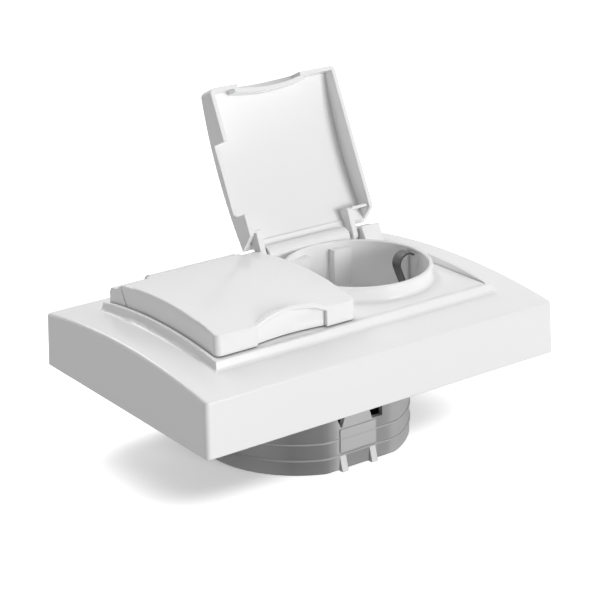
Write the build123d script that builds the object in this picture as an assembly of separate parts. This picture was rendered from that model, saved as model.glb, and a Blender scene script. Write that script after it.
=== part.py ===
from build123d import *
import math
import os

# Two plug places side by side: pins lie along Y, earth clips along X
well_radius = 19.85
well_depth = 17.46
well_floor = 1.8
ring_wall = 1.25
ring_height = 4.3
ring_overlap = 0.94
ring_cove = 0.9
ring_lip_round = 0.45
well_lead_in = 0.3
pin_spacing = 19.0
pin_radius = 2.4
pin_clearance = 0.05
pin_hole_margin = 0.3
guide_inner = 4.2
guide_outer = 10.6
guide_chord = 16.9
guide_below_lip = 1.95
clip_slot_width = 4.5
clip_slot_depth = 0.6
clip_slot_below_lip = 0.9

# Centre plate, its opening in the cover frame and the frame round it
plate_thickness = 2.0
plate_seam = 0.15
plate_end_margin = 2.87
plate_side_margin = 5.9
plate_corner_round = 1.0
frame_end_border = 12.9
frame_wall = 2.0
frame_top_wall = 2.2
frame_draft_angle = 1.9
frame_corner_round = 1.2
frame_edge_round = 0.9
vault_rise = 3.4
plate_above_edge = 4.15
lip_width = 1.7
lip_thickness = 2.15
rim_width = 1.0
rim_rise = 2.2
collar_end_lean = 0.5
collar_side_lean = 0.7
collar_foot_round = 1.4
collar_foot_sink = 0.08
rim_round = 0.2

# Wall side: steel strap, contact carrier and rear cup
strap_setback = 0.3
strap_thickness = 1.2
strap_rivet_edge = 4.12
strap_screw_edge = 5.5
strap_cover = 3.5
strap_corner_cut = 9.0
strap_edge_round = 2.0
box_screw_spacing = 60.0
box_screw_hole = 1.7
box_screw_room = 0.3
carrier_flange = 1.5
carrier_wall = 2.1
carrier_depth = 16.5
carrier_ear_reach = 5.5
carrier_ear_width = 28.0
carrier_ear_round = 3.0
cup_clearance = 0.3
cup_wall = 1.5
cup_depth = 22.6
cup_flat_round = 6.0
cup_foot_round = 0.8
cup_rib_height = 0.5
cup_rib_proud = 0.25
cup_rib_levels = (4.35, 9.05)
tongue_offset = -1.5
tongue_top_half = 2.7
tongue_foot_half = 5.1
window_outer = 8.5
window_slant = 3.0
window_above_foot = 12.5
window_height = 7.0
pad_half_width = 6.0
pad_proud = 0.4
pad_height = 6.6
pad_below_window = 0.4
wedge_width = 2.0
wedge_proud = 1.2

# Brass and steel inside
strip_thickness = 0.6
bar_width = 6.4
bar_sink = 2.0
sleeve_wall = 0.6
sleeve_length = 14.0
sleeve_slit = 0.8
spring_wall = 0.4
spring_length = 5.0
spring_below_bar = 5.0
sleeve_room = 0.25
bow_width = 3.3
bow_pad_radius = 4.0
bow_foot_from_wall = 1.65
bow_hook_radius = 3.3
bow_hook_from_wall = 3.05
bow_hook_below_lip = 0.3
bow_hook_end = 45.0
bow_bend = 1.3
bow_straight = 2.5
link_width = 6.0
link_overhang = 4.0
terminal_width = 7.4
terminal_depth = 7.2
terminal_foot_drop = 11.0
terminal_screw_drop = 8.5
terminal_room = 0.2
terminal_from_flat = 1.6
terminal_edge = 0.5
terminal_roof = 1.2
wire_hole = 1.6
wire_way_room = 0.6
tab_width = 6.0

# Fasteners
terminal_thread = 1.75
terminal_head = 2.7
terminal_head_height = 1.2
screw_slot_width = 0.7
screw_slot_depth = 0.6
insert_thread = 1.5
insert_head = 2.8
insert_screw_length = 13.0
insert_screw_room = 0.2
rivet_shank = 1.2
rivet_head = 2.2
rivet_head_height = 0.9
rivet_inset = 2.6
rivet_spacing = 20.0
earth_rivet_shank = 1.0
earth_rivet_head = 1.8
earth_rivet_head_height = 0.6
earth_rivet_place = 8.0
rivet_head_room = 0.3

# Lids and their hinge
lid_side_gap = 0.35
lid_front_gap = 0.7
lid_middle_gap = 0.4
lid_rim_gap = 0.3
lid_wall = 1.3
lid_panel = 2.0
lid_front_above_ring = 1.64
lid_crown_above_ring = 4.4
lid_back_above_ring = 2.4
lid_crown_shift = 23.8
lid_corner_round = 1.6
lid_edge_round = 0.5
lid_back_from_axis = 2.8
lid_back_overhang = 3.6
lid_notch_half = 10.7
lid_notch_above_ring = 1.7
lid_open_angle = 115.0
hood_half_width = 12.1
hood_rise = 3.0
hood_sink = 1.0
hood_depth = 6.0
hood_fall = 0.45
recess_half_width = 11.0
recess_end_height = 4.45
recess_peak_height = 7.15
recess_depth = 2.2
recess_end_depth = 1.1
hinge_from_edge = 3.5
hinge_above_plate = 3.35
hinge_pin_radius = 0.9
hinge_clearance = 0.05
knuckle_radius = 1.9
knuckle_width = 1.8
knuckle_outer_inset = 6.95
knuckle_inner_inset = 2.8
knuckle_ring_room = 0.67
knuckle_foot_gap = 0.85
knuckle_foot_round = 1.0
knuckle_neck = 2.5
knuckle_rib = 0.9
arm_slope = 28.0
arm_setback = 0.3
barrel_radius = 2.9
barrel_room = 0.2
barrel_inner_gap = 0.3
barrel_outer_gap = 2.0
block_gap = 0.5
block_seam = 0.5
block_back_gap = 0.25
block_front_rise = 2.8
block_scallop_rise = 1.45
block_back_rise = 1.3
block_back_slope = 1.2
block_shoulder_drop = 0.2
rail_rise = 1.2
rail_back_slope = 0.9
rail_foot_width = 0.8
trough_room = 0.55
trough_share = 0.94
pin_recess = 0.15
pin_in_block = 2.0

# How far cuts run past a face, and how near an edge counts as being on it
overrun = 1.0
near_by = 1.0

# Levels, counted up from the wall plane
strap_back = strap_setback
strap_front = strap_back + strap_thickness
carrier_top = strap_front + carrier_flange
bow_bottom = carrier_top + strip_thickness
floor_bottom = bow_bottom + strip_thickness
floor_top = floor_bottom + well_floor
ring_top = floor_top + well_depth
plate_top = ring_top - ring_height
plate_bottom = plate_top - plate_thickness
frame_edge = plate_top - plate_above_edge
frame_crown = frame_edge + vault_rise
rim_crown = plate_top + rim_rise
bar_bottom = carrier_top - bar_sink
bar_top = bar_bottom + strip_thickness
carrier_bottom = carrier_top - carrier_flange - carrier_depth
cup_bottom = strap_back - cup_depth
cup_floor = cup_bottom + cup_wall

# Plan sizes
ring_radius = well_radius + ring_wall
well_x = ring_radius - ring_overlap / 2
pin_y = pin_spacing / 2
opening_x = well_x + ring_radius + plate_end_margin
opening_y = ring_radius + plate_side_margin
frame_length = 2 * (opening_x + frame_end_border)
rim_x = opening_x + rim_width
rim_y = opening_y + rim_width
sleeve_bore = pin_radius + pin_clearance
sleeve_outer = sleeve_bore + sleeve_wall
carrier_bore = sleeve_outer + spring_wall + sleeve_room
carrier_radius = math.hypot(well_x, pin_y) + carrier_bore + carrier_wall
cup_radius = carrier_radius + cup_clearance + cup_wall
cup_flat = box_screw_spacing / 2 - box_screw_hole - box_screw_room
carrier_flat = cup_flat - cup_wall - cup_clearance
ear_x = carrier_radius + carrier_ear_reach
rivet_x = ear_x - rivet_inset
strap_x = rivet_x + strap_rivet_edge
strap_y = box_screw_spacing / 2 + strap_screw_edge
frame_width = 2 * (strap_y + strap_cover + frame_wall)
vault_radius = (frame_width ** 2 / 4 + vault_rise ** 2) / (2 * vault_rise)
tongue_half = (tongue_top_half + tongue_foot_half) / 2
screw_x = tongue_offset - (window_outer - window_slant / 2 + tongue_half) / 2
earth_screw_x = tongue_offset + (window_outer + tongue_half) / 2
round_reach = math.sqrt(carrier_radius ** 2 - (terminal_head - screw_x) ** 2)
terminal_front = min(carrier_flat, round_reach) - terminal_from_flat
terminal_back = terminal_front - terminal_depth
wire_y = (terminal_front + terminal_back) / 2
hinge_y = opening_y - hinge_from_edge
hinge_z = plate_top + hinge_above_plate
lid_inner_x = lid_middle_gap / 2
lid_outer_x = opening_x - lid_side_gap
lid_front_y = -(opening_y - lid_front_gap)
lid_rim = plate_top + lid_rim_gap
lid_back_top = hinge_y - lid_back_from_axis
lid_back_foot = lid_back_top - lid_back_overhang
lid_back_z = ring_top + lid_back_above_ring
knuckle_places = (lid_outer_x - knuckle_outer_inset - knuckle_width, lid_inner_x + knuckle_inner_inset)
knuckle_from_well = min(well_x - knuckle_places[1] - knuckle_width, knuckle_places[0] - well_x)
knuckle_root = math.sqrt(ring_radius ** 2 - knuckle_from_well ** 2) + knuckle_ring_room
knuckle_foot = lid_rim + knuckle_foot_gap
knuckle_top = lid_back_z - lid_panel / 2
block_back = opening_y - block_back_gap
hinge_axis = Axis((0, hinge_y, hinge_z), (1, 0, 0))


def slab(x_low, x_high, y_low, y_high, z_low, z_high):
    """Upright block between three pairs of faces."""
    centre = Pos((x_low + x_high) / 2, (y_low + y_high) / 2, (z_low + z_high) / 2)
    return centre * Box(x_high - x_low, y_high - y_low, z_high - z_low)


def post(x, y, z_low, z_high, radius):
    """Round post along Z."""
    return Pos(x, y, (z_low + z_high) / 2) * Cylinder(radius, z_high - z_low)


def rod_along_x(y, z, x_low, x_high, radius):
    """Round rod along X."""
    return Pos((x_low + x_high) / 2, y, z) * Rot(0, 90, 0) * Cylinder(radius, x_high - x_low)


def rod_along_y(x, z, y_low, y_high, radius):
    """Round rod along Y."""
    return Pos(x, (y_low + y_high) / 2, z) * Rot(90, 0, 0) * Cylinder(radius, y_high - y_low)


def drawn_along_x(outline, x_low, x_high):
    """Closed (y, z) outline drawn out along X."""
    return Pos(x_low, 0, 0) * extrude(Plane.YZ * make_face(outline), amount=x_high - x_low)


def drawn_along_y(outline, y_low, y_high):
    """Closed (x, z) outline drawn out along Y."""
    half = extrude(Plane.XZ * make_face(outline), amount=(y_high - y_low) / 2, both=True)
    return Pos(0, (y_low + y_high) / 2, 0) * half


def half_turn(shape):
    """The same shape turned half round the centre line."""
    return Rot(0, 0, 180) * shape


def upright_edges(shape):
    return shape.edges().filter_by(Axis.Z)


def loop(*pieces):
    """Outline of lines and arcs that follow one another."""
    return Curve() + list(pieces)


def vault_block(half_length, half_width, edge, crown):
    """Block under a shallow barrel vault that arches across Y."""
    outline = loop(
        Polyline((half_width, edge), (half_width, 0), (-half_width, 0), (-half_width, edge)),
        ThreePointArc((-half_width, edge), (0, crown), (half_width, edge)),
    )
    return drawn_along_x(outline, -half_length, half_length)


def drafted_block(length, width, height):
    return extrude(Rectangle(length, width), amount=height, taper=frame_draft_angle)


def vault_height(y):
    """Height of the frame's vault at a distance from its crown line."""
    return frame_crown - vault_radius + math.sqrt(vault_radius ** 2 - y ** 2)


def collar_block():
    """Raised collar: leaning walls with a hollow foot that runs out on the vault, arched rim across Y."""
    end_lean = rim_x + collar_end_lean
    end_foot = end_lean + 2 * collar_foot_round
    end_level = frame_crown - collar_foot_sink
    end_high = rim_crown + overrun
    end_x = rim_x - collar_end_lean * overrun / (rim_crown - end_level)
    end_cove = FilletPolyline((end_x, end_high), (end_lean, end_level), (end_foot, end_level),
                              radius=collar_foot_round)
    ends = loop(
        end_cove,
        Polyline((end_foot, end_level), (end_foot, 0), (-end_foot, 0), (-end_foot, end_level)),
        mirror(end_cove, about=Plane.YZ),
        Line((-end_x, end_high), (end_x, end_high)),
    )
    side_lean = rim_y + collar_side_lean
    side_foot = side_lean + 2 * collar_foot_round
    foot = plate_bottom - lip_thickness
    side_level = vault_height(side_foot) - collar_foot_sink
    side_cove = FilletPolyline((rim_y, plate_top), (side_lean, vault_height(side_lean) - collar_foot_sink),
                               (side_foot, side_level), radius=collar_foot_round)
    sides = loop(
        side_cove,
        Polyline((side_foot, side_level), (side_foot, foot), (-side_foot, foot), (-side_foot, side_level)),
        mirror(side_cove, about=Plane.YZ),
        ThreePointArc((-rim_y, plate_top), (0, rim_crown), (rim_y, plate_top)),
    )
    crown_line = Axis((0, 0, frame_crown - vault_radius), (1, 0, 0))
    half_turned = math.degrees(math.asin((side_foot + overrun) / vault_radius))
    arched = revolve(Plane.XZ * make_face(ends), crown_line, revolution_arc=2 * half_turned)
    arched = arched.rotate(crown_line, -half_turned)
    return arched & drawn_along_x(sides, -end_foot, end_foot)


def make_cover_frame():
    height = frame_crown + overrun
    shell = drafted_block(frame_length, frame_width, height)
    shell &= vault_block(frame_length / 2, frame_width / 2, frame_edge, frame_crown)
    corners = [e for e in shell.edges() if abs(e.center().X) > opening_x and abs(e.center().Y) > opening_y
               and frame_edge / 3 < e.center().Z < 2 * frame_edge / 3]
    shell = fillet(corners, frame_corner_round)
    top_edges = [e for e in shell.edges() if e.center().Z > frame_edge - near_by]
    shell = fillet(top_edges, frame_edge_round)
    inner_length = frame_length - 2 * frame_wall
    inner_width = frame_width - 2 * frame_wall
    cavity = drafted_block(inner_length, inner_width, height)
    cavity &= vault_block(
        inner_length / 2, inner_width / 2, frame_edge - frame_top_wall, frame_crown - frame_top_wall
    )
    frame = shell - cavity + collar_block()
    opening = slab(-opening_x, opening_x, -opening_y, opening_y, plate_bottom, rim_crown + overrun)
    opening = fillet(upright_edges(opening), plate_corner_round)
    throat_x = opening_x - lip_width
    throat_y = opening_y - lip_width
    throat = slab(-throat_x, throat_x, -throat_y, throat_y, 0, plate_bottom)
    frame -= opening + throat
    rim_top = frame.faces().sort_by(Axis.Z)[-1]
    return fillet(rim_top.edges(), rim_round)


def well_body():
    """Outside of one well: cup wall, coved ring foot and rounded ring lip."""
    cove = plate_top + ring_cove
    bend = ring_cove * (1 - math.sqrt(0.5))
    lip = ring_lip_round
    lip_bend = lip * (1 - math.sqrt(0.5))
    outline = loop(
        Polyline((0, ring_top), (0, floor_bottom), (ring_radius, floor_bottom), (ring_radius, plate_bottom),
                 (ring_radius + ring_cove, plate_bottom), (ring_radius + ring_cove, plate_top)),
        ThreePointArc((ring_radius + ring_cove, plate_top), (ring_radius + bend, plate_top + bend),
                      (ring_radius, cove)),
        Line((ring_radius, cove), (ring_radius, ring_top - lip)),
        ThreePointArc((ring_radius, ring_top - lip), (ring_radius - lip_bend, ring_top - lip_bend),
                      (ring_radius - lip, ring_top)),
        Line((ring_radius - lip, ring_top), (0, ring_top)),
    )
    return revolve(Plane.XZ * make_face(outline), Axis.Z)


def well_bore():
    """Inside of one well with a small lead-in at its mouth."""
    mouth = well_radius + well_lead_in
    outline = Polyline(
        (0, floor_top), (well_radius, floor_top), (well_radius, ring_top - well_lead_in),
        (mouth, ring_top), (mouth, ring_top + overrun), (0, ring_top + overrun), close=True
    )
    return revolve(Plane.XZ * make_face(outline), Axis.Z)


def guide_ribs(x):
    """Four flat-faced guide ribs on one well's wall, in line with the pins."""
    top = ring_top - guide_below_lip
    ribs = []
    for across in (-1, 1):
        for along in (-1, 1):
            near, far = sorted((along * guide_inner, along * guide_outer))
            low, high = sorted((across * guide_chord, across * ring_radius))
            ribs.append(slab(x + near, x + far, low, high, floor_top, top))
    within = post(x, 0, floor_top, top, well_radius + ring_wall / 2)
    return [rib & within for rib in ribs]


def slant_y(z):
    """Y of the lid's slanted hinge end at a height."""
    share = (z - lid_rim) / (lid_back_z - lid_rim)
    return lid_back_foot + share * (lid_back_top - lid_back_foot)


def hinge_block_outline():
    """Side of a fixed hinge block: slanted front, scalloped top, upright back."""
    front_top_z = hinge_z + block_front_rise
    front_top = (slant_y(front_top_z) + block_seam, front_top_z)
    front_foot = (slant_y(plate_bottom) + block_seam, plate_bottom)
    back_top = (block_back - block_back_slope, hinge_z + block_back_rise)
    shoulder = (block_back, hinge_z - block_shoulder_drop)
    return loop(
        Line(front_foot, front_top),
        ThreePointArc(front_top, (hinge_y, hinge_z + block_scallop_rise), back_top),
        Polyline(back_top, shoulder, (block_back, plate_bottom), front_foot),
    )


def rear_rail_outline():
    """Wall behind the hinge with a round trough that the knuckles turn in."""
    room = knuckle_radius + trough_room
    low = trough_share * room
    start = (hinge_y + math.sqrt(room ** 2 - rail_rise ** 2), hinge_z + rail_rise)
    end = (hinge_y + math.sqrt(room ** 2 - low ** 2), hinge_z - low)
    foot = end[0] - rail_foot_width
    shoulder = (block_back, hinge_z - block_shoulder_drop)
    return loop(
        ThreePointArc(start, (hinge_y + room, hinge_z), end),
        Polyline(end, (foot, plate_top), (foot, plate_bottom), (block_back, plate_bottom), shoulder,
                 (block_back - rail_back_slope, hinge_z + rail_rise), start),
    )


def barrel_outline():
    """Round-topped ridge on the hinge axis, which the lid turns over, with a low foot up to the ring."""
    near = hinge_y - barrel_radius
    far = hinge_y + barrel_radius
    root = math.sqrt(well_radius ** 2 - knuckle_from_well ** 2)
    foot = plate_top + ring_cove + barrel_room
    return loop(
        Polyline((far, hinge_z), (far, plate_bottom), (root, plate_bottom), (root, foot), (near, foot),
                 (near, hinge_z)),
        ThreePointArc((near, hinge_z), (hinge_y, hinge_z + barrel_radius), (far, hinge_z)),
    )


def make_socket_insert():
    plate = slab(-opening_x + plate_seam, opening_x - plate_seam,
                 -opening_y + plate_seam, opening_y - plate_seam, plate_bottom, plate_top)
    plate = fillet(upright_edges(plate), plate_corner_round - plate_seam)
    body = plate
    for x in (-well_x, well_x):
        body += Pos(x, 0, 0) * well_body()
    body += drawn_along_x(rear_rail_outline(), -lid_outer_x, lid_outer_x)
    barrel = drawn_along_x(barrel_outline(), knuckle_places[1] + knuckle_width + barrel_inner_gap,
                           knuckle_places[0] - barrel_outer_gap)
    body += [barrel, mirror(barrel, about=Plane.YZ)]
    outline = hinge_block_outline()
    middle = knuckle_places[1] - block_gap
    end = knuckle_places[0] + knuckle_width + block_gap
    for x_low, x_high in ((-lid_outer_x, -end), (-middle, middle), (end, lid_outer_x)):
        body += drawn_along_x(outline, x_low, x_high)
    for x in (-well_x, well_x):
        body -= Pos(x, 0, 0) * well_bore()
    for x in (-well_x, well_x):
        body += guide_ribs(x)
    slot_half = clip_slot_width / 2
    slot_top = ring_top - clip_slot_below_lip
    foot = well_radius - bow_foot_from_wall
    foot_room = strip_thickness / 2 + cup_clearance
    for x in (-well_x, well_x):
        for side in (-1, 1):
            near, far = sorted((x + side * (well_radius - overrun),
                                x + side * (well_radius + clip_slot_depth)))
            body -= slab(near, far, -slot_half, slot_half, floor_top, slot_top)
            near, far = sorted((x + side * (foot - bow_bend - foot_room), x + side * (foot + foot_room)))
            body -= slab(near, far, -slot_half, slot_half, floor_bottom, floor_top)
            body -= post(x, side * pin_y, floor_bottom, floor_top, sleeve_bore + pin_hole_margin)
        body -= insert_screw_way(x)
    for x_low, x_high in pin_spans():
        body -= rod_along_x(hinge_y, hinge_z, x_low, x_high, hinge_pin_radius)
    return body


def insert_screw_way(x):
    """Countersunk clearance hole in a well floor."""
    shank = post(x, 0, floor_bottom, floor_top, insert_thread + insert_screw_room)
    sink = Pos(x, 0, floor_top - insert_head / 2 + insert_thread / 2)
    cone = Cone(insert_thread, insert_head, insert_head - insert_thread)
    return shank + sink * cone


def pin_spans():
    """X extents of the four hinge pins, left lid first."""
    outer_low = knuckle_places[0] + pin_recess
    outer_high = knuckle_places[0] + knuckle_width + block_gap + pin_in_block
    inner_low = knuckle_places[1] - block_gap - pin_in_block
    inner_high = knuckle_places[1] + knuckle_width - pin_recess
    right = [(outer_low, outer_high), (inner_low, inner_high)]
    return [(-high, -low) for low, high in right] + right


def make_hinge_pins(spans):
    return [rod_along_x(hinge_y, hinge_z, low, high, hinge_pin_radius) for low, high in spans]


def lid_outline(wall, panel, foot):
    """Side outline of the lid, or of its hollow when given the wall and panel thickness."""
    front = lid_front_y + wall
    front_top = (front, ring_top + lid_front_above_ring - panel)
    crown = (lid_front_y + lid_crown_shift, ring_top + lid_crown_above_ring - panel)
    arch = ThreePointArc(front_top, crown, (lid_back_top, lid_back_z - panel))
    fall = arch.radius - math.sqrt(arch.radius ** 2 - (hinge_y - arch.arc_center.X) ** 2)
    end = (hinge_y, arch.arc_center.Y + arch.radius - fall)
    return loop(
        Line((front, foot), front_top),
        ThreePointArc(front_top, crown, end),
        Polyline(end, (hinge_y, foot), (front, foot)),
    )


def lid_end_outline():
    """What is cut from the lid's hinge end to leave it slanted."""
    low = lid_rim - overrun
    high = ring_top + lid_crown_above_ring
    far = hinge_y + overrun
    return Polyline((slant_y(low), low), (slant_y(high), high), (far, high), (far, low), close=True)


def drawn_back(outline, start, depth):
    """Closed (x, z) outline drawn back from the lid's front, falling as it goes."""
    face = Pos(0, lid_front_y + start, -hood_fall * start) * (Plane.XZ * make_face(outline))
    way = Vector(0, 1, -hood_fall)
    return extrude(face, amount=(depth - start) * way.length, dir=way)


def lid_hood():
    """Arched brow on the lid's front edge, over the finger recess."""
    edge = ring_top + lid_front_above_ring
    bend = (hood_half_width ** 2 + hood_rise ** 2) / (2 * hood_rise)
    half = math.sqrt(bend ** 2 - (bend - hood_rise - hood_sink) ** 2)
    left = (well_x - half, edge - hood_sink)
    right = (well_x + half, edge - hood_sink)
    outline = loop(Line(left, right), ThreePointArc(right, (well_x, edge + hood_rise), left))
    brow = drawn_back(outline, 0, hood_depth)
    front_arch = brow.edges().filter_by(GeomType.CIRCLE).sort_by(Axis.Y)[0]
    return fillet(front_arch, lid_edge_round)


def finger_recess(extra):
    """Finger recess in the lid's front wall: arched top, hollow back. extra thickens it to its own wall."""
    half = recess_half_width + extra
    end_top = lid_rim + recess_end_height + extra
    peak = lid_rim + recess_peak_height + extra
    low = lid_rim - overrun
    arch = loop(
        Polyline((well_x - half, end_top), (well_x - half, low), (well_x + half, low),
                 (well_x + half, end_top)),
        ThreePointArc((well_x + half, end_top), (well_x, peak), (well_x - half, end_top)),
    )
    front = lid_front_y - overrun
    end_back = lid_front_y + recess_end_depth + extra
    plan = loop(
        Polyline((well_x - half, end_back), (well_x - half, front), (well_x + half, front),
                 (well_x + half, end_back)),
        ThreePointArc((well_x + half, end_back), (well_x, lid_front_y + recess_depth + extra),
                      (well_x - half, end_back)),
    )
    depth = Pos(0, 0, low) * extrude(make_face(plan), amount=peak - low + overrun)
    return drawn_back(arch, -overrun, recess_depth + extra + overrun) & depth


def knuckle_outline():
    """Side of a lid knuckle: a plate from under the panel that ends in the pin eye."""
    bend = knuckle_foot_round * (1 - math.sqrt(0.5))
    slope = math.radians(arm_slope)
    eye_top = (hinge_y - knuckle_radius * math.cos(slope), hinge_z + knuckle_radius * math.sin(slope))
    eye_foot = (hinge_y, hinge_z - knuckle_radius)
    heel_top = (knuckle_root, knuckle_foot + knuckle_foot_round)
    heel_foot = (knuckle_root + knuckle_foot_round, knuckle_foot)
    return loop(
        Polyline(eye_top, (slant_y(knuckle_top) - arm_setback, knuckle_top), (knuckle_root, knuckle_top),
                 heel_top),
        ThreePointArc(heel_top, (knuckle_root + bend, knuckle_foot + bend), heel_foot),
        Polyline(heel_foot, (hinge_y - knuckle_neck, eye_foot[1]), eye_foot),
        ThreePointArc(eye_foot, (hinge_y + knuckle_radius, hinge_z), eye_top),
    )


def hinge_lip_outline():
    """Side of the panel's rear lip, which ends just clear of the barrel."""
    inside = lid_back_z - lid_panel
    end = hinge_y - math.sqrt((barrel_radius + barrel_room) ** 2 - (inside - hinge_z) ** 2)
    reach = end - slant_y(inside)
    root = slant_y(inside) - near_by
    return Polyline((root, inside), (end, inside), (lid_back_top + reach, lid_back_z), (root, lid_back_z),
                    close=True)


def make_closed_lid():
    """The right-hand lid, closed."""
    body = drawn_along_x(lid_outline(0, 0, lid_rim), lid_inner_x, lid_outer_x)
    front_edges = [e for e in upright_edges(body) if e.center().Y < lid_front_y + near_by]
    body = fillet(front_edges, lid_corner_round)
    top_edges = [e for e in body.edges()
                 if e.center().Z > ring_top + near_by and e.center().Y < hinge_y - near_by]
    body = fillet(top_edges, lid_edge_round)
    body -= drawn_along_x(lid_end_outline(), lid_inner_x - overrun, lid_outer_x + overrun)
    body += lid_hood()
    hollow = drawn_along_x(lid_outline(lid_wall, lid_panel, lid_rim - overrun),
                           lid_inner_x + lid_wall, lid_outer_x - lid_wall)
    body -= hollow - finger_recess(lid_wall)
    body -= finger_recess(0)
    body -= slab(0, lid_inner_x + lid_wall + overrun, -lid_notch_half, lid_notch_half,
                 lid_rim - overrun, ring_top + lid_notch_above_ring)
    body += drawn_along_x(hinge_lip_outline(), knuckle_places[1] + knuckle_width, knuckle_places[0])
    outline = knuckle_outline()
    for x in knuckle_places:
        body += drawn_along_x(outline, x, x + knuckle_width)
        body -= rod_along_x(hinge_y, hinge_z, x - overrun, x + knuckle_width + overrun,
                            hinge_pin_radius + hinge_clearance)
    rib_y = min(knuckle_root, slant_y(knuckle_foot) - knuckle_rib)
    outer_rib = (knuckle_places[0] + knuckle_width, lid_outer_x - lid_wall)
    inner_rib = (lid_inner_x + lid_wall, knuckle_places[1])
    for x_low, x_high in (outer_rib, inner_rib):
        body += slab(x_low, x_high, rib_y, rib_y + knuckle_rib, knuckle_foot, knuckle_top)
    return body


def rounded_disc(radius, flat, corner, z_low, z_high):
    """Disc with flats on its Y sides and eased corners."""
    outline = Circle(radius) & Rectangle(2 * radius, 2 * flat)
    outline = fillet(outline.vertices(), corner)
    return Pos(0, 0, z_low) * extrude(outline, amount=z_high - z_low)


def make_mounting_strap():
    plate = Rectangle(2 * strap_x, 2 * strap_y)
    plate = chamfer(plate.vertices(), strap_corner_cut)
    plate = fillet(plate.vertices(), strap_edge_round)
    strap = Pos(0, 0, strap_back) * extrude(plate, amount=strap_thickness)
    strap -= rounded_disc(carrier_radius + cup_clearance, carrier_flat + cup_clearance, cup_flat_round,
                          strap_back, strap_front)
    for y in (-1, 1):
        strap -= post(0, y * box_screw_spacing / 2, strap_back, strap_front, box_screw_hole)
    for x, y in rivet_points():
        strap -= post(x, y, strap_back, strap_front, rivet_shank)
    return strap


def rivet_points():
    return [(sx * rivet_x, sy * rivet_spacing / 2) for sx in (-1, 1) for sy in (-1, 1)]


def live_pocket():
    """Room in the carrier for one pole: strip channel, sleeve bores, tab channel and terminal."""
    room = terminal_room
    reach = well_x + bar_width / 2 + room
    half = bar_width / 2 + room
    cut = slab(-reach, reach, -pin_y - half, -pin_y + half, bar_bottom, carrier_top)
    for x in (-well_x, well_x):
        cut += post(x, -pin_y, carrier_bottom, carrier_top, carrier_bore)
    tab = tab_width / 2 + room
    cut += slab(screw_x - tab, screw_x + tab, -terminal_front - room, -pin_y, bar_bottom, carrier_top)
    return cut + terminal_pocket(screw_x, bar_bottom)


def terminal_pocket(x, top):
    half = terminal_width / 2 + terminal_room
    return slab(x - half, x + half, -carrier_radius, -terminal_back + terminal_room, carrier_bottom, top)


def make_contact_carrier():
    body = rounded_disc(carrier_radius, carrier_flat, cup_flat_round, carrier_bottom, carrier_top)
    ears = Rectangle(2 * ear_x, carrier_ear_width)
    ears = fillet(ears.vertices(), carrier_ear_round)
    body += Pos(0, 0, strap_front) * extrude(ears, amount=carrier_flange)
    body -= live_pocket()
    body -= half_turn(live_pocket())
    body -= terminal_pocket(earth_screw_x, carrier_top)
    screw_foot = floor_top - insert_screw_length
    for x in (-well_x, well_x):
        body -= post(x, 0, screw_foot - overrun, carrier_top, insert_thread)
        side = math.copysign(earth_rivet_place, x)
        body -= post(side, 0, carrier_top - earth_rivet_head_height - rivet_head_room, carrier_top,
                     earth_rivet_head + rivet_head_room)
    for x, y in rivet_points():
        body -= post(x, y, strap_front, carrier_top, rivet_shank)
    return body


def window_outline(side):
    """Window beside the snap tongue, which widens downwards. The left one has a slanted outer edge."""
    low = cup_bottom + window_above_foot
    high = low + window_height
    mid = tongue_offset
    outer_foot = window_outer if side > 0 else window_outer - window_slant
    return Polyline(
        (mid + side * tongue_foot_half, low), (mid + side * outer_foot, low),
        (mid + side * window_outer, high), (mid + side * tongue_top_half, high), close=True
    )


def front_flat_details():
    """Raised pad and two small wedges on one flat of the cup."""
    within = -cup_flat + cup_wall / 2
    pad_top = cup_bottom + window_above_foot - pad_below_window
    pad = slab(tongue_offset - pad_half_width, tongue_offset + pad_half_width,
               -cup_flat - pad_proud, within, pad_top - pad_height, pad_top)
    wedge_top = cup_bottom + cup_rib_levels[0]
    outline = Polyline(
        (within, cup_bottom), (-cup_flat - wedge_proud, cup_bottom),
        (-cup_flat, wedge_top), (within, wedge_top),
        close=True
    )
    details = [pad]
    for side in (-1, 1):
        x = tongue_offset + side * (pad_half_width - wedge_width / 2)
        details.append(drawn_along_x(outline, x - wedge_width / 2, x + wedge_width / 2))
    return details


def make_rear_cup():
    cup = rounded_disc(cup_radius, cup_flat, cup_flat_round, cup_bottom, strap_back)
    cup = fillet([e for e in cup.edges() if e.center().Z < cup_bottom + near_by], cup_foot_round)
    for level in cup_rib_levels:
        low = cup_bottom + level
        cup += rounded_disc(cup_radius + cup_rib_proud, cup_flat + cup_rib_proud, cup_flat_round,
                            low, low + cup_rib_height)
    for piece in front_flat_details():
        cup += piece
        cup += half_turn(piece)
    cup -= rounded_disc(carrier_radius + cup_clearance, carrier_flat + cup_clearance, cup_flat_round,
                        cup_floor, strap_back)
    for side in (-1, 1):
        window = drawn_along_y(window_outline(side), -cup_radius - overrun, -cup_flat + cup_wall + overrun)
        cup -= window
        cup -= half_turn(window)
    for x, y in ((screw_x, -wire_y), (earth_screw_x, -wire_y), (-screw_x, wire_y)):
        cup -= post(x, y, cup_bottom, cup_floor, wire_hole + wire_way_room)
    return cup


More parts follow.
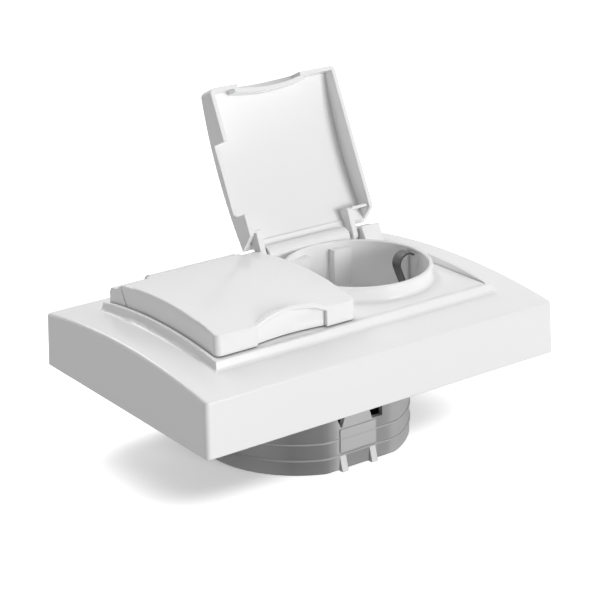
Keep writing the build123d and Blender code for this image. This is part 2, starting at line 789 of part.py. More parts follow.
def make_live_bar():
    """Brass strip with a split sleeve under each end and a tab to its terminal."""
    reach = well_x + bar_width / 2
    bar = slab(-reach, reach, -pin_y - bar_width / 2, -pin_y + bar_width / 2, bar_bottom, bar_top)
    bar += slab(screw_x - tab_width / 2, screw_x + tab_width / 2, -terminal_front, -pin_y,
                bar_bottom, bar_top)
    foot = bar_top - sleeve_length
    for x in (-well_x, well_x):
        bar += post(x, -pin_y, foot, bar_top, sleeve_outer)
    for x in (-well_x, well_x):
        bar -= post(x, -pin_y, foot, bar_top, sleeve_bore)
        far = x + math.copysign(sleeve_outer + overrun, x)
        x_low, x_high = sorted((x, far))
        bar -= slab(x_low, x_high, -pin_y - sleeve_slit / 2, -pin_y + sleeve_slit / 2, foot, bar_bottom)
    return bar


def make_sleeve_springs():
    """Steel clips that squeeze the sleeves, one round each, slit in line with the sleeve."""
    top = bar_bottom - spring_below_bar
    springs = []
    for x in (-well_x, well_x):
        for y in (-pin_y, pin_y):
            ring = post(x, y, top - spring_length, top, sleeve_outer + spring_wall)
            ring -= post(x, y, top - spring_length, top, sleeve_outer)
            x_low, x_high = sorted((x, x + math.copysign(2 * sleeve_outer, x)))
            ring -= slab(x_low, x_high, y - sleeve_slit / 2, y + sleeve_slit / 2, top - spring_length, top)
            springs.append(ring)
    return springs


def make_earth_bow(x):
    """Bent strip: flat under the well floor, with a sprung clip up each side of the well."""
    foot = well_radius - bow_foot_from_wall
    level = bow_bottom + strip_thickness / 2
    bend = (foot, floor_top + bow_straight)
    radius = bow_hook_radius - strip_thickness / 2
    centre = (well_radius - bow_hook_from_wall, ring_top - bow_hook_below_lip - bow_hook_radius)
    away = math.degrees(math.atan2(bend[1] - centre[1], bend[0] - centre[0]))
    spread = math.degrees(math.acos(radius / math.dist(bend, centre)))
    start = away - spread + 360
    hook = CenterArc(centre, radius, start, bow_hook_end - start)
    touch = hook @ 0
    half = [(foot, level), bend, (touch.X, touch.Y)]
    legs = FilletPolyline(*[(-u, z) for u, z in reversed(half)], *half, radius=bow_bend)
    line = Curve() + [mirror(hook, about=Plane.YZ), legs, hook]
    strip = Plane.XZ * trace(line, strip_thickness)
    bow = extrude(strip, amount=bow_width / 2, both=True)
    bow += post(0, 0, bow_bottom, floor_bottom, bow_pad_radius)
    bow -= post(0, 0, bow_bottom, floor_bottom, insert_thread + insert_screw_room)
    bow -= post(math.copysign(earth_rivet_place, x) - x, 0, bow_bottom, floor_bottom, earth_rivet_shank)
    return Pos(x, 0, 0) * bow


def make_earth_link():
    """Flat strip that ties both bows to the earth terminal."""
    reach = well_x + link_overhang
    half = link_width / 2
    link = slab(-reach, reach, -half, half, carrier_top, bow_bottom)
    link += slab(earth_screw_x - tab_width / 2, earth_screw_x + tab_width / 2, -terminal_front, 0,
                 carrier_top, bow_bottom)
    for x in (-well_x, well_x):
        link -= post(x, 0, carrier_top, bow_bottom, insert_thread + insert_screw_room)
        link -= post(math.copysign(earth_rivet_place, x), 0, carrier_top, bow_bottom, earth_rivet_shank)
    return link


def make_terminal(x, top):
    """Brass pillar block: wire from behind, screw from the cup's window."""
    foot = carrier_top - terminal_foot_drop
    block = slab(x - terminal_width / 2, x + terminal_width / 2, -terminal_front, -terminal_back, foot, top)
    block = chamfer(upright_edges(block), terminal_edge)
    block -= post(x, -wire_y, foot, top - terminal_roof, wire_hole)
    block -= rod_along_y(x, carrier_top - terminal_screw_drop, -terminal_front, -wire_y, terminal_thread)
    return block


def make_terminal_screw(x):
    """Slotted clamping screw, its head towards the window."""
    z = carrier_top - terminal_screw_drop
    face = -terminal_front - terminal_head_height
    shank = rod_along_y(x, z, -terminal_front, -wire_y - wire_hole, terminal_thread)
    head = rod_along_y(x, z, face, -terminal_front, terminal_head)
    slot = slab(x - terminal_head, x + terminal_head, face, face + screw_slot_depth,
                z - screw_slot_width / 2, z + screw_slot_width / 2)
    return shank + head - slot


def make_insert_screw(x):
    """Countersunk screw through a well floor into the carrier."""
    tip = floor_top - insert_screw_length
    cone_height = insert_head - insert_thread
    shank = post(x, 0, tip, floor_top - cone_height, insert_thread)
    head = Pos(x, 0, floor_top - cone_height / 2) * Cone(insert_thread, insert_head, cone_height)
    slot = slab(x - insert_head, x + insert_head, -screw_slot_width / 2, screw_slot_width / 2,
                floor_top - screw_slot_depth, floor_top)
    return shank + head - slot


def make_carrier_rivet(x, y):
    shank = post(x, y, strap_back, carrier_top, rivet_shank)
    return shank + post(x, y, carrier_top, carrier_top + rivet_head_height, rivet_head)


def make_earth_rivet(x):
    shank = post(x, 0, carrier_top, floor_bottom, earth_rivet_shank)
    return shank + post(x, 0, carrier_top - earth_rivet_head_height, carrier_top, earth_rivet_head)


def main():
    closed_lid = make_closed_lid()
    live_bar = make_live_bar()
    live_terminal = make_terminal(screw_x, bar_bottom)
    live_screw = make_terminal_screw(screw_x)
    spans = pin_spans()
    nodes = {
        "cover_frame": make_cover_frame(),
        "socket_insert": make_socket_insert(),
        "left_lid": mirror(closed_lid, about=Plane.YZ),
        "right_lid": closed_lid.rotate(hinge_axis, -lid_open_angle),
        "left_hinge_pins": make_hinge_pins(spans[:2]),
        "right_hinge_pins": make_hinge_pins(spans[2:]),
        "mounting_strap": make_mounting_strap(),
        "contact_carrier": make_contact_carrier(),
        "rear_cup": make_rear_cup(),
        "live_contact_bar": live_bar,
        "neutral_contact_bar": half_turn(live_bar),
        "sleeve_springs": make_sleeve_springs(),
        "left_earth_bow": make_earth_bow(-well_x),
        "right_earth_bow": make_earth_bow(well_x),
        "earth_link": make_earth_link(),
        "live_terminal": live_terminal,
        "neutral_terminal": half_turn(live_terminal),
        "earth_terminal": make_terminal(earth_screw_x, carrier_top),
        "terminal_screws": [live_screw, half_turn(live_screw), make_terminal_screw(earth_screw_x)],
        "insert_screws": [make_insert_screw(x) for x in (-well_x, well_x)],
        "carrier_rivets": [make_carrier_rivet(x, y) for x, y in rivet_points()],
        "earth_rivets": [make_earth_rivet(x) for x in (-earth_rivet_place, earth_rivet_place)],
    }
    os.makedirs("parts", exist_ok=True)
    for name, shape in nodes.items():
        if isinstance(shape, list):
            shape = Compound(children=shape)
        export_step(shape, f"parts/{name}.step")


main()
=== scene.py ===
import math
from collections import namedtuple

import bpy
from bpy.props import FloatProperty, FloatVectorProperty, PointerProperty
from bpy.types import NodeSocket, Operator, Panel, PropertyGroup
from mathutils import Matrix, Vector


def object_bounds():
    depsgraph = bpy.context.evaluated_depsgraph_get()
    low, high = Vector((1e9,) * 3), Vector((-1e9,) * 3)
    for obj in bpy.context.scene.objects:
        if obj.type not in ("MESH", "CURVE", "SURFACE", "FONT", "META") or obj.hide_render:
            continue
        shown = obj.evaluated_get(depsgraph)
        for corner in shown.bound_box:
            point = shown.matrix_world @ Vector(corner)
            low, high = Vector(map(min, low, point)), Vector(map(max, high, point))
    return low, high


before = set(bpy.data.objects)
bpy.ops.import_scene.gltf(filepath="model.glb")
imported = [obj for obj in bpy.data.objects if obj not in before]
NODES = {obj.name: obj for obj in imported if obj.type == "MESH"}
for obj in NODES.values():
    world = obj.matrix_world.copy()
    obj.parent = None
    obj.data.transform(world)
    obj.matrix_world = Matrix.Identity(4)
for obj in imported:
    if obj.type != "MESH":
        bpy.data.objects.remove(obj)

bl_info = {
    "name": "Double Socket Finish",
    "version": (1, 0, 0),
    "blender": (4, 5, 0),
    "location": "3D View > Sidebar > Socket",
    "description": "Finishes the mouldings, metal and rear cup of a double socket with lids "
                   "and sets up its studio",
    "category": "Object",
}

CAD_BOX = [list(corner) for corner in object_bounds()]
FLOOR_LEVEL = CAD_BOX[0][2]

# Finish of each piece
WHITE_NODES = {
    "cover_frame": "frame_white",
    "socket_insert": "insert_white",
    "left_lid": "lid_white",
    "right_lid": "lid_white",
}
METAL_NODES = {
    "mounting_strap": "strap_steel",
    "left_hinge_pins": "pin_steel",
    "right_hinge_pins": "pin_steel",
    "sleeve_springs": "spring_steel",
    "terminal_screws": "screw_steel",
    "insert_screws": "screw_steel",
    "carrier_rivets": "rivet_steel",
    "earth_rivets": "rivet_steel",
    "live_contact_bar": "contact_brass",
    "neutral_contact_bar": "contact_brass",
    "earth_link": "contact_brass",
    "live_terminal": "terminal_brass",
    "neutral_terminal": "terminal_brass",
    "earth_terminal": "terminal_brass",
    "left_earth_bow": "clip_metal",
    "right_earth_bow": "clip_metal",
}
METAL_ROUGHNESS = {
    "strap_steel": 0.35,
    "pin_steel": 0.3,
    "spring_steel": 0.35,
    "screw_steel": 0.3,
    "rivet_steel": 0.35,
    "contact_brass": 0.3,
    "terminal_brass": 0.34,
    "clip_metal": 0.34,
}
WHITE_IOR = 1.49
CUP_IOR = 1.4

# Fine skin of each kind of surface: share of colour drift, grains per metre, strength of the bump
Skin = namedtuple("Skin", "drift grain bump")
WHITE_SKIN = Skin(drift=0.02, grain=2600.0, bump=0.1)
CUP_SKIN = Skin(drift=0.1, grain=1500.0, bump=0.3)
CARRIER_SKIN = Skin(drift=0.1, grain=1800.0, bump=0.3)
METAL_SKIN = Skin(drift=0.25, grain=3200.0, bump=0.06)

# What all skins share: clouds and waves per metre, and how far the clouds move the gloss
CLOUD_SCALE = 38.0
CLOUD_DETAIL = 3.0
CLOUD_SPAN = (0.3, 0.7)
CLOUD_COLOUR = (0.45, 0.45, 0.44, 1.0)
GLOSS_SPAN = (0.96, 1.04)
WAVE_SCALE = 110.0
WAVE_DETAIL = 1.0
GRAIN_DETAIL = 2.0
GRAIN_HEIGHT = 0.02
BUMP_DISTANCE = 0.0001

# Seams and edges: rays per sample, how open a seam or corner may be before shade is painted into
# it, and the tone of that painted shade deep inside it
SEAM_RAYS = 8
SEAM_OPEN = 0.55
SEAM_SHADE_TONE = 0.04
EDGE_RAYS = 6

# Rear cup, in metres: how pale the plastic is along the length of its flats, partly from its
# thickness and partly painted shade and light, where its details lie along the flats or in height,
# and how soft their edges are
CUP_TONES_AND_SHADE = (
    (-0.030, 0.7), (-0.026, 0.52), (-0.020, 0.3), (-0.0115, 0.3), (-0.0095, 0.42),
    (-0.0075, 0.66), (0.0044, 0.68), (0.0052, 0.38), (0.0085, 0.42), (0.0105, 0.54),
    (0.030, 0.54),
)
CUP_UNDER = FLOOR_LEVEL - 0.001
CUP_PAD = (-0.0075, 0.0045)
CUP_PAD_FOOT = -0.0172
CUP_PAD_SOFT = 0.0002
CUP_RIBS = ((-0.01797, -0.01743), (-0.01327, -0.01273))
CUP_RIB_SOFT = 0.00008
CUP_WEDGES = ((-0.0075, -0.0055), (0.0025, 0.0045))
CUP_WEDGE_TOP = -0.0179
CUP_WEDGE_SOFT = 0.0001

# Directions from the object to the lights and to the middle of the backdrop
KEY_FROM = (-0.12, 0.4, 0.91)
FILL_FROM = (0.3, -0.93, 0.18)
RIM_FROM = (0.0, 0.8, 0.6)
BACKDROP_AT = (0.54, 0.8, 0.2)
BACKDROP_SPAN = (0.55, 0.85)

# Floor: the camera sees it paler than the object does, and less pale under the object, where a
# shadow is painted on it
FLOOR_SIZE = 12.0
FLOOR_ROUGHNESS = 0.9
FLOOR_SHINE = 0.1
FLOOR_TONE_LIT = 0.5
FLOOR_TONE_SEEN = 0.9
FLOOR_GLOW_LIT = 0.14
FLOOR_GLOW_SEEN_WITH_SHADOW = (0.31, 0.75)
FLOOR_SHADOW_SPOT = (-0.009, 0.002, 0.0)
FLOOR_SHADOW_SIZE = (0.070, 0.030, 1.0)
FLOOR_SHADOW_SPAN = (0.3, 0.85)

# Camera of the photograph: place in metres and axes in the CAD frame, lens in millimetres
CAMERA_PLACE = (-0.283309, -0.402234, 0.198484)
CAMERA_RIGHT = (0.811899, -0.583322, -0.023587)
CAMERA_UP = (0.219883, 0.268118, 0.937957)
CAMERA_BACK = (-0.540807, -0.766713, 0.345947)
CAMERA_LENS = 114.0
CAMERA_SENSOR = 36.0
CAMERA_NEAR = 0.01


class WhiteMouldingSettings(PropertyGroup):
    colour: FloatVectorProperty(
        name="Colour", description="Colour of the white mouldings",
        subtype="COLOR", size=3, min=0.0, max=1.0, default=(0.9, 0.9, 0.9))
    roughness: FloatProperty(
        name="Roughness", description="Roughness of the polished faces",
        subtype="FACTOR", min=0.0, max=1.0, default=0.17)
    edge_radius: FloatProperty(
        name="Edge Radius", description="How far the sharp edges look rounded",
        subtype="DISTANCE", unit="LENGTH", precision=5, min=0.0, default=0.0004)
    # Reach and depth of the shade painted into seams and tight corners
    seam_shade_reach: FloatProperty(
        name="Seam Shade Reach", description="How near two faces are where a seam looks dark",
        subtype="DISTANCE", unit="LENGTH", precision=5, min=0.0, default=0.0006)
    seam_shade_depth: FloatProperty(
        name="Seam Shade Depth", description="How dark a seam looks",
        subtype="FACTOR", min=0.0, max=1.0, default=0.7)


class CupSettings(PropertyGroup):
    thick_tone: FloatProperty(
        name="Thick Tone", description="How pale the cup is where its plastic is thick",
        subtype="FACTOR", min=0.0, max=1.0, default=0.95)
    # Paleness of the ribs, partly thicker plastic and partly a painted highlight
    rib_tone_and_highlight: FloatProperty(
        name="Rib Tone And Highlight", description="How pale the thin ribs round the cup are",
        subtype="FACTOR", min=0.0, max=1.0, default=0.6)
    low_tone: FloatProperty(
        name="Low Tone", description="How pale the thin wall under the pad is",
        subtype="FACTOR", min=0.0, max=1.0, default=0.38)
    clearness: FloatProperty(
        name="Clearness", description="Share of the light that passes through the plastic",
        subtype="FACTOR", min=0.0, max=1.0, default=0.2)
    roughness: FloatProperty(
        name="Roughness", description="Roughness of the milky plastic",
        subtype="FACTOR", min=0.0, max=1.0, default=0.36)
    edge_radius: FloatProperty(
        name="Edge Radius", description="How far the cup's sharp edges look rounded",
        subtype="DISTANCE", unit="LENGTH", precision=5, min=0.0, default=0.0003)
    carrier_colour: FloatVectorProperty(
        name="Carrier Colour", description="Colour of the contact carrier inside the cup",
        subtype="COLOR", size=3, min=0.0, max=1.0, default=(0.05, 0.05, 0.05))
    carrier_roughness: FloatProperty(
        name="Carrier Roughness", description="Roughness of the contact carrier",
        subtype="FACTOR", min=0.0, max=1.0, default=0.5)


class MetalSettings(PropertyGroup):
    strap_steel: FloatVectorProperty(
        name="Strap Steel", description="Colour of the mounting strap",
        subtype="COLOR", size=3, min=0.0, max=1.0, default=(0.62, 0.63, 0.64))
    pin_steel: FloatVectorProperty(
        name="Pin Steel", description="Colour of the hinge pins",
        subtype="COLOR", size=3, min=0.0, max=1.0, default=(0.6, 0.6, 0.61))
    spring_steel: FloatVectorProperty(
        name="Spring Steel", description="Colour of the springs round the sleeves",
        subtype="COLOR", size=3, min=0.0, max=1.0, default=(0.42, 0.43, 0.44))
    screw_steel: FloatVectorProperty(
        name="Screw Steel", description="Colour of the screws",
        subtype="COLOR", size=3, min=0.0, max=1.0, default=(0.62, 0.62, 0.6))
    rivet_steel: FloatVectorProperty(
        name="Rivet Steel", description="Colour of the rivets",
        subtype="COLOR", size=3, min=0.0, max=1.0, default=(0.58, 0.58, 0.58))
    contact_brass: FloatVectorProperty(
        name="Contact Brass", description="Colour of the contact strips and the earth link",
        subtype="COLOR", size=3, min=0.0, max=1.0, default=(0.72, 0.53, 0.24))
    terminal_brass: FloatVectorProperty(
        name="Terminal Brass", description="Colour of the terminal blocks",
        subtype="COLOR", size=3, min=0.0, max=1.0, default=(0.74, 0.56, 0.27))
    clip_metal: FloatVectorProperty(
        name="Clip Metal", description="Colour of the earth clips in the wells",
        subtype="COLOR", size=3, min=0.0, max=1.0, default=(0.13, 0.13, 0.13))


class StudioSettings(PropertyGroup):
    sky: FloatProperty(
        name="Sky", description="Mean strength of the light that comes from all round",
        min=0.0, default=0.26)
    sky_lean: FloatVectorProperty(
        name="Sky Lean", description="How much stronger the sky gets along each axis",
        subtype="XYZ", size=3, default=(0.2, -0.04, 0.14))
    backdrop: FloatProperty(
        name="Backdrop", description="Strength of the white backdrop behind the object",
        min=0.0, default=0.42)
    key: FloatProperty(
        name="Key", description="Strength of the wide soft light overhead",
        min=0.0, default=0.95)
    key_spread: FloatProperty(
        name="Key Spread",
        description="Angle that the overhead light spans, which softens its shadows",
        subtype="ANGLE", min=0.0, default=math.radians(45.0))
    fill: FloatProperty(
        name="Fill", description="Strength of the soft light in front",
        min=0.0, default=1.75)
    fill_spread: FloatProperty(
        name="Fill Spread",
        description="Angle that the front light spans, which softens its shadows",
        subtype="ANGLE", min=0.0, default=math.radians(24.0))
    rim: FloatProperty(
        name="Rim", description="Strength of the light behind that draws the edges",
        min=0.0, default=0.55)
    rim_spread: FloatProperty(
        name="Rim Spread",
        description="Angle that the light behind spans, which widens the edge lines",
        subtype="ANGLE", min=0.0, default=math.radians(24.0))


def grey(tone):
    return (tone, tone, tone, 1.0)


def feed(tree, node, inputs):
    """Links or sets the named inputs of a node."""
    for name, value in inputs.items():
        if isinstance(value, NodeSocket):
            tree.links.new(value, node.inputs[name])
        else:
            node.inputs[name].default_value = value


def add_node(tree, kind, inputs=None, **settings):
    """New node with its settings and inputs."""
    node = tree.nodes.new(kind)
    for name, value in settings.items():
        setattr(node, name, value)
    feed(tree, node, inputs or {})
    return node


def math_node(tree, operation, *values):
    """Result of a Math node."""
    node = add_node(tree, "ShaderNodeMath", dict(enumerate(values)), operation=operation)
    return node.outputs["Value"]


def vector_value(tree, operation, *values):
    """Single number that a Vector Math node puts out."""
    node = add_node(tree, "ShaderNodeVectorMath", dict(enumerate(values)), operation=operation)
    return node.outputs["Value"]


def map_span(tree, value, span, onto=(0.0, 1.0), shape="LINEAR"):
    """Value moved from one span onto another."""
    ends = {"From Min": span[0], "From Max": span[1], "To Min": onto[0], "To Max": onto[1]}
    node = add_node(tree, "ShaderNodeMapRange", {"Value": value, **ends}, interpolation_type=shape)
    return node.outputs["Result"]


def between(tree, value, span, soft):
    """Mask that is 1 where a value lies within a span, with soft ends."""
    low, high = span
    above = map_span(tree, value, (low - soft, low + soft), shape="SMOOTHSTEP")
    below = map_span(tree, value, (high + soft, high - soft), shape="SMOOTHSTEP")
    return math_node(tree, "MULTIPLY", above, below)


def mix_colours(tree, mask, first, second):
    """Colour that goes from the first to the second as the mask goes from 0 to 1."""
    inputs = {"Factor": mask, "A": first, "B": second}
    return add_node(tree, "ShaderNodeMix", inputs, data_type="RGBA").outputs["Result"]


def noise(tree, place, scale, detail):
    """Soft noise, with as many lumps per metre as the scale says."""
    inputs = {"Vector": place, "Scale": scale, "Detail": detail}
    return add_node(tree, "ShaderNodeTexNoise", inputs).outputs["Fac"]


def new_group(name, inputs, outputs):
    """Empty shader group with named sockets, and its two end nodes."""
    group = bpy.data.node_groups.new(name, "ShaderNodeTree")
    for way, sockets in (("INPUT", inputs), ("OUTPUT", outputs)):
        for socket, kind in sockets.items():
            group.interface.new_socket(socket, in_out=way, socket_type=kind)
    return group, group.nodes.new("NodeGroupInput").outputs, group.nodes.new("NodeGroupOutput")


def fine_skin():
    """Fine surface texture: a faint drift of the colour, the gloss and the height."""
    name = "fine_skin"
    if name in bpy.data.node_groups:
        return bpy.data.node_groups[name]
    group, given, put = new_group(
        name,
        {"Colour": "NodeSocketColor", "Drift": "NodeSocketFloat",
         "Roughness": "NodeSocketFloat", "Grain Scale": "NodeSocketFloat"},
        {"Colour": "NodeSocketColor", "Roughness": "NodeSocketFloat", "Height": "NodeSocketFloat"})
    place = add_node(group, "ShaderNodeTexCoord").outputs["Object"]
    cloud = noise(group, place, CLOUD_SCALE, CLOUD_DETAIL)
    grain = noise(group, place, given["Grain Scale"], GRAIN_DETAIL)
    wave = noise(group, place, WAVE_SCALE, WAVE_DETAIL)
    drift = math_node(group, "MULTIPLY", cloud, given["Drift"])
    gloss = map_span(group, cloud, CLOUD_SPAN, GLOSS_SPAN)
    feed(group, put, {
        "Colour": mix_colours(group, drift, given["Colour"], CLOUD_COLOUR),
        "Roughness": math_node(group, "MULTIPLY", gloss, given["Roughness"]),
        "Height": math_node(group, "MULTIPLY_ADD", grain, GRAIN_HEIGHT, wave),
    })
    return group


def seam_shade():
    """Painted shade: darkens the colour where two faces nearly meet, as in a seam, a tight corner
    or a cove.
    """
    name = "seam_shade"
    if name in bpy.data.node_groups:
        return bpy.data.node_groups[name]
    group, given, put = new_group(
        name,
        {"Colour": "NodeSocketColor", "Reach": "NodeSocketFloat", "Depth": "NodeSocketFloat"},
        {"Colour": "NodeSocketColor"})
    openness = add_node(group, "ShaderNodeAmbientOcclusion", {"Distance": given["Reach"]},
                        samples=SEAM_RAYS).outputs["AO"]
    shut = map_span(group, openness, (SEAM_OPEN, 0.0))
    deep = math_node(group, "MULTIPLY", shut, given["Depth"])
    feed(group, put, {"Colour": mix_colours(group, deep, given["Colour"], grey(SEAM_SHADE_TONE))})
    return group


def new_material(name):
    material = bpy.data.materials.new(name)
    material.use_nodes = True
    return material


def shader_of(material):
    return material.node_tree.nodes["Principled BSDF"]


def dress(node, material):
    slots = NODES[node].data.materials
    slots.clear()
    slots.append(material)


def skin_on(material, colour, roughness, skin):
    """Puts a colour and a roughness on a material through its fine skin, which also bumps it."""
    tree = material.node_tree
    texture = add_node(
        tree, "ShaderNodeGroup",
        {"Colour": colour, "Drift": skin.drift, "Roughness": roughness, "Grain Scale": skin.grain},
        node_tree=fine_skin()).outputs
    relief = add_node(
        tree, "ShaderNodeBump",
        {"Strength": skin.bump, "Distance": BUMP_DISTANCE, "Height": texture["Height"]})
    feed(tree, shader_of(material), {
        "Base Color": texture["Colour"],
        "Roughness": texture["Roughness"],
        "Normal": relief.outputs["Normal"],
    })


def round_edges(material, radius):
    """Softens the sharp edges of a moulding so that they catch the light."""
    tree = material.node_tree
    relief = shader_of(material).inputs["Normal"].links[0].from_node
    bevel = add_node(tree, "ShaderNodeBevel", {"Radius": radius}, samples=EDGE_RAYS)
    feed(tree, relief, {"Normal": bevel.outputs["Normal"]})


def paint_seam_shade(material, reach, depth):
    """Puts the painted seam shade between the fine skin and the shader."""
    tree = material.node_tree
    shader = shader_of(material)
    colour = shader.inputs["Base Color"].links[0].from_socket
    seam = add_node(tree, "ShaderNodeGroup", {"Colour": colour, "Reach": reach, "Depth": depth},
                    node_tree=seam_shade())
    feed(tree, shader, {"Base Color": seam.outputs["Colour"]})


def white_moulding(slot, look):
    """Glossy white plastic with softened edges and painted shade in its seams and tight corners.
    """
    material = new_material(slot)
    skin_on(material, (*look.colour, 1.0), look.roughness, WHITE_SKIN)
    feed(material.node_tree, shader_of(material), {"IOR": WHITE_IOR})
    round_edges(material, look.edge_radius)
    paint_seam_shade(material, look.seam_shade_reach, look.seam_shade_depth)
    return material


class SOCKET_OT_white_mouldings(Operator):
    """Give the frame, the insert and the lids their glossy white finish"""
    bl_idname = "socket.white_mouldings"
    bl_label = "White Mouldings"

    def execute(self, context):
        look = context.scene.socket_white
        made = {slot: white_moulding(slot, look) for slot in dict.fromkeys(WHITE_NODES.values())}
        for node, slot in WHITE_NODES.items():
            dress(node, made[slot])
        return {"FINISHED"}


def cup_colour_and_painted_light(tree, look):
    """Milky plastic: dark where its wall is thin, pale on ribs, pads and wedges of both flats; the
    dark stretch left of the pad is partly painted shade, and the pale pad and ribs are partly
    painted light.
    """
    place = add_node(tree, "ShaderNodeTexCoord").outputs["Object"]
    axes = add_node(tree, "ShaderNodeSeparateXYZ", {"Vector": place}).outputs
    level = axes["Z"]
    side = math_node(tree, "SIGN", axes["Y"])
    along = math_node(tree, "MULTIPLY", math_node(tree, "MULTIPLY", axes["X"], side), -1.0)
    # Tones along the flats: the plastic's thickness, with painted shade on the darker stretches
    # and painted light on the pad
    first, last = CUP_TONES_AND_SHADE[0][0], CUP_TONES_AND_SHADE[-1][0]
    ramp = add_node(tree, "ShaderNodeValToRGB", {"Fac": map_span(tree, along, (first, last))})
    stops = ramp.color_ramp.elements
    for spot, _ in CUP_TONES_AND_SHADE[1:-1]:
        stops.new((spot - first) / (last - first))
    for stop, (_, tone) in zip(stops, CUP_TONES_AND_SHADE):
        stop.color = grey(tone)
    foot = between(tree, level, (CUP_UNDER, CUP_PAD_FOOT), CUP_PAD_SOFT)
    under_pad = math_node(tree, "MULTIPLY", foot, between(tree, along, CUP_PAD, CUP_PAD_SOFT))
    colour = mix_colours(tree, under_pad, ramp.outputs["Color"], grey(look.low_tone))
    # Pale ribs: partly thicker plastic, partly painted highlights
    for span in CUP_RIBS:
        rib = between(tree, level, span, CUP_RIB_SOFT)
        colour = mix_colours(tree, rib, colour, grey(look.rib_tone_and_highlight))
    low = between(tree, level, (CUP_UNDER, CUP_WEDGE_TOP), CUP_WEDGE_SOFT)
    for span in CUP_WEDGES:
        wedge = math_node(tree, "MULTIPLY", low, between(tree, along, span, CUP_WEDGE_SOFT))
        colour = mix_colours(tree, wedge, colour, grey(look.thick_tone))
    return colour


class SOCKET_OT_rear_cup(Operator):
    """Give the rear cup its milky finish, with some painted shade and highlights, and the carrier
    inside its satin grey
    """
    bl_idname = "socket.rear_cup"
    bl_label = "Rear Cup"

    def execute(self, context):
        look = context.scene.socket_cup
        milky = new_material("cup_milky")
        tree = milky.node_tree
        skin_on(milky, cup_colour_and_painted_light(tree, look), look.roughness, CUP_SKIN)
        feed(tree, shader_of(milky), {"Transmission Weight": look.clearness, "IOR": CUP_IOR})
        round_edges(milky, look.edge_radius)
        dress("rear_cup", milky)
        satin = new_material("carrier_grey")
        skin_on(satin, (*look.carrier_colour, 1.0), look.carrier_roughness, CARRIER_SKIN)
        dress("contact_carrier", satin)
        return {"FINISHED"}


def bare_metal(slot, colour):
    """Drawn or rolled metal in the colour of its slot."""
    material = new_material(slot)
    skin_on(material, (*colour, 1.0), METAL_ROUGHNESS[slot], METAL_SKIN)
    feed(material.node_tree, shader_of(material), {"Metallic": 1.0})
    return material


class SOCKET_OT_metal(Operator):
    """Give the strap, pins, springs, screws, rivets, clips and brass parts their metal finish"""
    bl_idname = "socket.metal"
    bl_label = "Metal Parts"

    def execute(self, context):
        look = context.scene.socket_metal
        made = {slot: bare_metal(slot, getattr(look, slot)) for slot in METAL_ROUGHNESS}
        for node, slot in METAL_NODES.items():
            dress(node, made[slot])
        return {"FINISHED"}


def studio_sky(mean, lean, backdrop):
    """Grey surroundings that brighten along one direction, with a white backdrop at the back."""
    world = bpy.data.worlds.new("studio")
    world.use_nodes = True
    tree = world.node_tree
    ray = add_node(tree, "ShaderNodeTexCoord").outputs["Generated"]
    level = math_node(tree, "ADD", vector_value(tree, "DOT_PRODUCT", ray, lean), mean)
    facing = vector_value(tree, "DOT_PRODUCT", ray, Vector(BACKDROP_AT).normalized())
    sheet = map_span(tree, facing, BACKDROP_SPAN, (0.0, backdrop), "SMOOTHSTEP")
    feed(tree, tree.nodes["Background"], {
        "Color": grey(1.0),
        "Strength": math_node(tree, "ADD", level, sheet),
    })
    return world


def soft_light(name, source, strength, width):
    """Distant light that spans a wide angle of the sky."""
    lamp = bpy.data.lights.new(name, "SUN")
    lamp.energy = strength
    lamp.angle = width
    light = bpy.data.objects.new(name, lamp)
    light.rotation_euler = Vector(source).to_track_quat("Z", "Y").to_euler()
    bpy.context.scene.collection.objects.link(light)


def floor_paint():
    """Pale matt floor that looks nearly white and throws less light back at the object, with a
    shadow painted under the object where the camera sees it.
    """
    pale = new_material("pale_floor")
    tree = pale.node_tree
    seen = add_node(tree, "ShaderNodeLightPath").outputs["Is Camera Ray"]
    place = add_node(tree, "ShaderNodeTexCoord").outputs["Object"]
    spot = add_node(
        tree, "ShaderNodeMapping",
        {"Vector": place, "Location": FLOOR_SHADOW_SPOT, "Scale": FLOOR_SHADOW_SIZE},
        vector_type="TEXTURE").outputs["Vector"]
    # The length of the squared place gives the painted shadow spot the outline of a rounded
    # rectangle
    squared = add_node(tree, "ShaderNodeVectorMath", {0: spot, 1: spot}, operation="MULTIPLY")
    away_from_painted_shadow = vector_value(tree, "LENGTH", squared.outputs["Vector"])
    glow_with_painted_shadow = map_span(tree, away_from_painted_shadow, FLOOR_SHADOW_SPAN, FLOOR_GLOW_SEEN_WITH_SHADOW, "SMOOTHSTEP")
    feed(tree, shader_of(pale), {
        "Base Color": mix_colours(tree, seen, grey(FLOOR_TONE_LIT), grey(FLOOR_TONE_SEEN)),
        "Roughness": FLOOR_ROUGHNESS,
        "Specular IOR Level": FLOOR_SHINE,
        "Emission Color": mix_colours(tree, seen, grey(FLOOR_GLOW_LIT), glow_with_painted_shadow),
        "Emission Strength": 1.0,
    })
    return pale


def photo_camera():
    """Camera at the photograph's place, with its lens."""
    data = bpy.data.cameras.new("camera")
    data.lens = CAMERA_LENS
    data.sensor_width = CAMERA_SENSOR
    data.clip_start = CAMERA_NEAR
    camera = bpy.data.objects.new("camera", data)
    turn = Matrix((CAMERA_RIGHT, CAMERA_UP, CAMERA_BACK)).transposed().to_4x4()
    camera.matrix_world = Matrix.Translation(CAMERA_PLACE) @ turn
    bpy.context.scene.collection.objects.link(camera)
    return camera


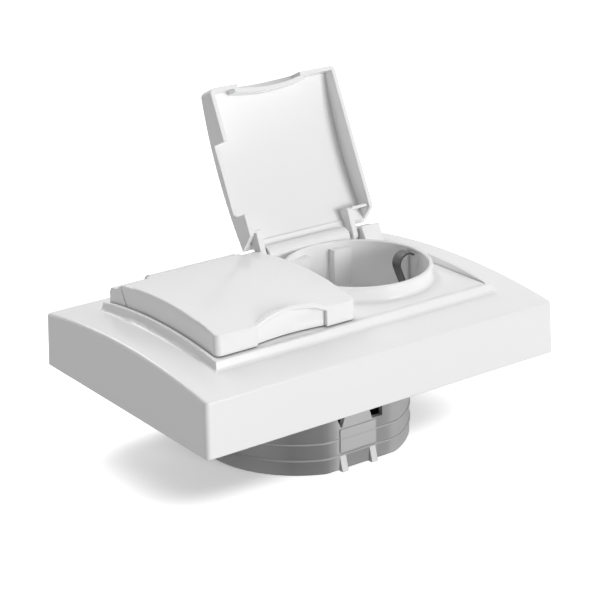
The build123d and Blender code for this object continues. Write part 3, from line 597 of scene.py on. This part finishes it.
class SOCKET_OT_studio(Operator):
    """Set up the pale floor, the soft lights and the camera of the photograph"""
    bl_idname = "socket.studio"
    bl_label = "Studio"

    def execute(self, context):
        scene = context.scene
        look = scene.socket_studio
        scene.view_settings.view_transform = "Standard"
        bpy.ops.object.select_all(action="DESELECT")
        bpy.ops.mesh.primitive_plane_add(size=FLOOR_SIZE, location=(0.0, 0.0, FLOOR_LEVEL))
        floor = context.active_object
        floor.name = "floor"
        floor.data.materials.append(floor_paint())
        scene.world = studio_sky(look.sky, look.sky_lean, look.backdrop)
        soft_light("key", KEY_FROM, look.key, look.key_spread)
        soft_light("fill", FILL_FROM, look.fill, look.fill_spread)
        soft_light("rim", RIM_FROM, look.rim, look.rim_spread)
        scene.camera = photo_camera()
        return {"FINISHED"}


# Where each group of settings hangs on the scene, and the step that uses it
STEPS = (
    ("socket_white", WhiteMouldingSettings, SOCKET_OT_white_mouldings),
    ("socket_cup", CupSettings, SOCKET_OT_rear_cup),
    ("socket_metal", MetalSettings, SOCKET_OT_metal),
    ("socket_studio", StudioSettings, SOCKET_OT_studio),
)


class SOCKET_PT_panel(Panel):
    """Lists the steps that finish the socket, each under its settings"""
    bl_idname = "SOCKET_PT_panel"
    bl_label = "Double Socket"
    bl_space_type = "VIEW_3D"
    bl_region_type = "UI"
    bl_category = "Socket"

    def draw(self, context):
        for place, settings, step in STEPS:
            box = self.layout.box()
            for name in settings.__annotations__:
                box.prop(getattr(context.scene, place), name)
            box.operator(step.bl_idname)


def register():
    for place, settings, step in STEPS:
        bpy.utils.register_class(settings)
        bpy.utils.register_class(step)
        setattr(bpy.types.Scene, place, PointerProperty(type=settings))
    bpy.utils.register_class(SOCKET_PT_panel)


def unregister():
    bpy.utils.unregister_class(SOCKET_PT_panel)
    for place, settings, step in reversed(STEPS):
        delattr(bpy.types.Scene, place)
        bpy.utils.unregister_class(step)
        bpy.utils.unregister_class(settings)


def main():
    register()
    bpy.ops.socket.white_mouldings()
    bpy.ops.socket.rear_cup()
    bpy.ops.socket.metal()
    bpy.ops.socket.studio()


if __name__ == "__main__":
    main()
